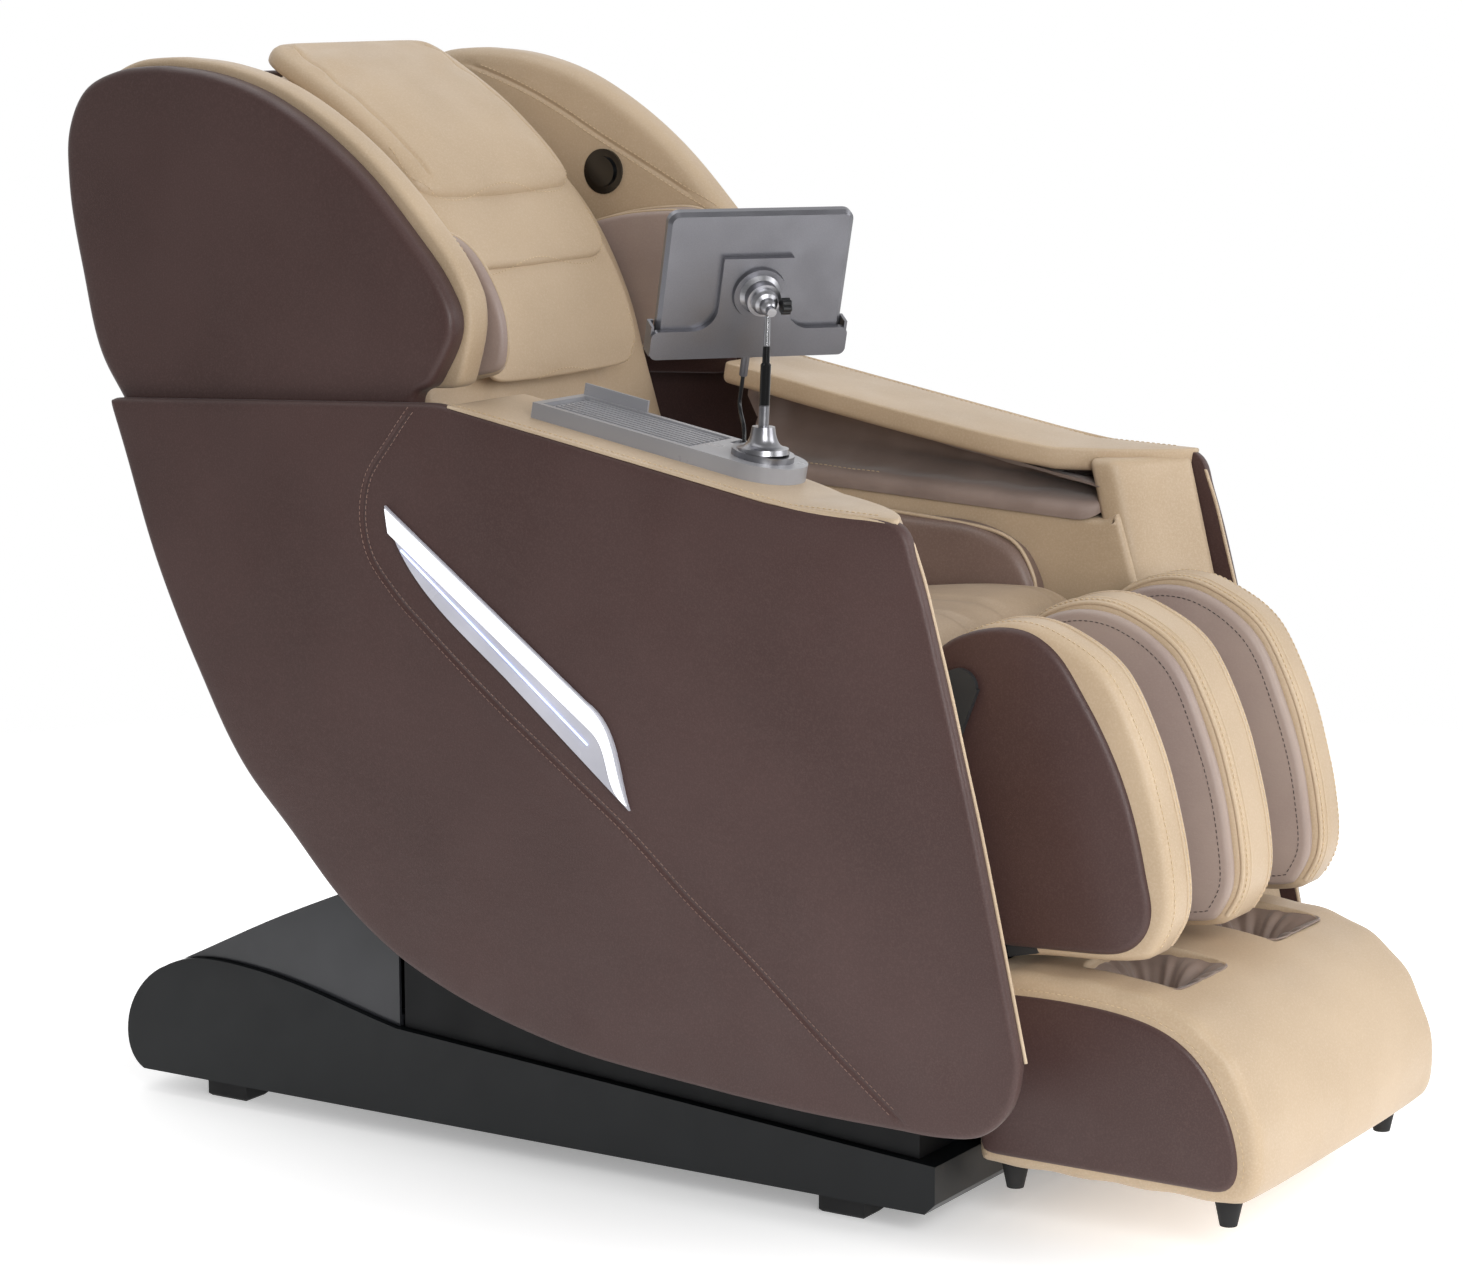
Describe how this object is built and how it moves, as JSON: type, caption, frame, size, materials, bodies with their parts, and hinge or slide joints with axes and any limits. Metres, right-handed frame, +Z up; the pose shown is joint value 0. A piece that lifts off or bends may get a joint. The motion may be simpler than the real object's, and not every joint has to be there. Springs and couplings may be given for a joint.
{
  "type": "massage chair",
  "caption": "Full-body massage chair with sliding base, tilting seat, reclining winged back, lifting leg rest, sliding foot rest, and a tray with a tablet stand.",
  "frame": {"origin": "on the floor under the middle of the chair's bounding box", "axes": "+Z up; the sitter faces -Y; the sitter's left is +X"},
  "size_m": [0.71, 1.4368, 1.2036],
  "materials": {
    "leather_brown": "satin",
    "leather_tan": "satin",
    "leather_taupe": "satin",
    "pad_cloth": "matte",
    "base_plastic": "satin",
    "hood_plastic": "satin",
    "trim_plastic": "gloss",
    "lamp": "satin",
    "silver_plastic": "satin",
    "black_plastic": "satin",
    "chrome": "polished",
    "steel": "brushed",
    "frame_paint": "satin",
    "motor_metal": "satin",
    "rubber": "matte"
  },
  "bodies": {
    "base": {"base_frame": "frame_paint", "base_cover": "base_plastic", "rear_cover": "hood_plastic", "slide_rails": "steel", "base_feet": "rubber", "power_supply": "motor_metal", "power_inlet": "black_plastic", "slide_motor": "motor_metal"},
    "mains_switch": {"power_switch": "black_plastic"},
    "carriage": {"carriage": "frame_paint", "riser_cover": "base_plastic", "tilt_shaft": "steel", "slide_motor_rod": "steel", "tilt_motor": "motor_metal"},
    "tilt_rod": {"tilt_motor_rod": "steel"},
    "seat": {"seat_frame": "frame_paint", "air_pump": "black_plastic", "seat_cushion": "leather_tan", "side_airbags": "leather_taupe", "side_panel_left": "leather_brown", "side_panel_right": "leather_brown", "light_trims": "trim_plastic", "light_diffusers": "lamp", "armrest_left": "leather_tan", "armrest_right": "leather_tan", "control_tray": "silver_plastic", "tablet_stand": "chrome", "tablet_lead": "black_plastic", "recline_motor": "motor_metal", "leg_motor": "motor_metal"},
    "recline_rod": {"recline_motor_rod": "steel"},
    "leg_rod": {"leg_motor_rod": "steel"},
    "tablet_head": {"tilt_head": "silver_plastic", "tablet_holder": "silver_plastic"},
    "knob": {"clamp_knob": "silver_plastic"},
    "tablet": {"tablet": "silver_plastic"},
    "back": {"back_frame": "frame_paint", "back_pad": "leather_tan", "wing_shell_left": "leather_brown", "wing_shell_right": "leather_brown", "wing_linings": "leather_tan", "shoulder_airbags": "leather_taupe", "speakers": "black_plastic", "back_cover": "leather_brown"},
    "pillow": {"head_pillow": "leather_tan"},
    "massage": {"massage_carriage": "motor_metal"},
    "massage_arm_l": {"massage_arm_left": "frame_paint"},
    "massage_arm_r": {"massage_arm_right": "frame_paint"},
    "roller_l": {"massage_roller_left": "rubber"},
    "roller_r": {"massage_roller_right": "rubber"},
    "leg": {"leg_frame": "frame_paint", "leg_trough": "leather_tan", "calf_airbags": "leather_taupe", "leg_covers": "leather_brown"},
    "foot": {"footrest_body": "leather_tan", "footrest_covers": "leather_brown", "foot_slide_rods": "steel", "footrest_feet": "rubber", "foot_airbags": "pad_cloth"},
    "sole_roller": {"sole_rollers": "rubber"}
  },
  "joints": [
    {"name": "mains_switch_rock", "type": "hinge", "parent": "base", "child": "mains_switch", "pos_m": [0.1585, 0.684, 0.077], "axis": [1, 0, 0], "range_deg": [-8, 8]},
    {"name": "seat_slide", "type": "slide", "parent": "base", "child": "carriage", "axis": [0, -0.9976, -0.0698], "range_m": [0, 0.1]},
    {"name": "seat_tilt", "type": "hinge", "parent": "carriage", "child": "seat", "pos_m": [0, 0.08, 0.24], "axis": [-1, 0, 0], "range_deg": [0, 20]},
    {"name": "tilt_rod_slide", "type": "slide", "parent": "carriage", "child": "tilt_rod", "axis": [0, -1, 0], "range_m": [0, 0.0279]},
    {"name": "back_recline", "type": "hinge", "parent": "seat", "child": "back", "pos_m": [0, 0.215, 0.47], "axis": [-1, 0, 0], "range_deg": [0, 33]},
    {"name": "recline_rod_slide", "type": "slide", "parent": "seat", "child": "recline_rod", "axis": [0, -1, 0], "range_m": [0, 0.0513]},
    {"name": "leg_lift", "type": "hinge", "parent": "seat", "child": "leg", "pos_m": [0, -0.372, 0.566], "axis": [-1, 0, 0], "range_deg": [0, 77]},
    {"name": "leg_rod_slide", "type": "slide", "parent": "seat", "child": "leg_rod", "axis": [0, -0.8627, 0.5058], "range_m": [0, 0.1736]},
    {"name": "foot_slide", "type": "slide", "parent": "leg", "child": "foot", "axis": [0, -0.2236, -0.9747], "range_m": [0, 0.12]},
    {"name": "sole_roller_spin", "type": "hinge", "parent": "foot", "child": "sole_roller", "pos_m": [0, -0.585, 0.112], "axis": [1, 0, 0], "continuous": true},
    {"name": "pillow_flip", "type": "hinge", "parent": "back", "child": "pillow", "pos_m": [0, 0.601, 1.188], "axis": [-1, 0, 0], "range_deg": [0, 120]},
    {"name": "massage_travel", "type": "slide", "parent": "back", "child": "massage", "axis": [0, 0.4772, 0.8788], "range_m": [-0.1, 0.28]},
    {"name": "massage_arm_left_rock", "type": "hinge", "parent": "massage", "child": "massage_arm_l", "pos_m": [0, 0.40991, 0.71313], "axis": [1, 0, 0], "range_deg": [-8, 8]},
    {"name": "massage_arm_right_rock", "type": "hinge", "parent": "massage", "child": "massage_arm_r", "pos_m": [0, 0.40991, 0.71313], "axis": [1, 0, 0], "range_deg": [-8, 8]},
    {"name": "massage_roller_left_spin", "type": "hinge", "parent": "massage_arm_l", "child": "roller_l", "pos_m": [0.093, 0.39926, 0.76898], "axis": [1, 0, 0], "continuous": true},
    {"name": "massage_roller_right_spin", "type": "hinge", "parent": "massage_arm_r", "child": "roller_r", "pos_m": [-0.093, 0.39926, 0.76898], "axis": [1, 0, 0], "continuous": true},
    {"name": "tablet_tilt", "type": "hinge", "parent": "seat", "child": "tablet_head", "pos_m": [-0.254, -0.157, 0.946], "axis": [0.766, -0.6428, 0], "range_deg": [-15, 15]},
    {"name": "knob_turn", "type": "hinge", "parent": "tablet_head", "child": "knob", "pos_m": [-0.254, -0.157, 0.946], "axis": [0.766, -0.6428, 0], "range_deg": [-180, 180]},
    {"name": "tablet_lift", "type": "slide", "parent": "tablet_head", "child": "tablet", "axis": [-0.2408, -0.287, 0.9272], "range_m": [0, 0.12]}
  ],
  "couplings": [
    {"joint": "tilt_rod_slide", "follows": "seat_tilt", "m_per_rad": 0.079594},
    {"joint": "recline_rod_slide", "follows": "back_recline", "m_per_rad": 0.088761},
    {"joint": "leg_rod_slide", "follows": "leg_lift", "m_per_rad": 0.12904}
  ]
}
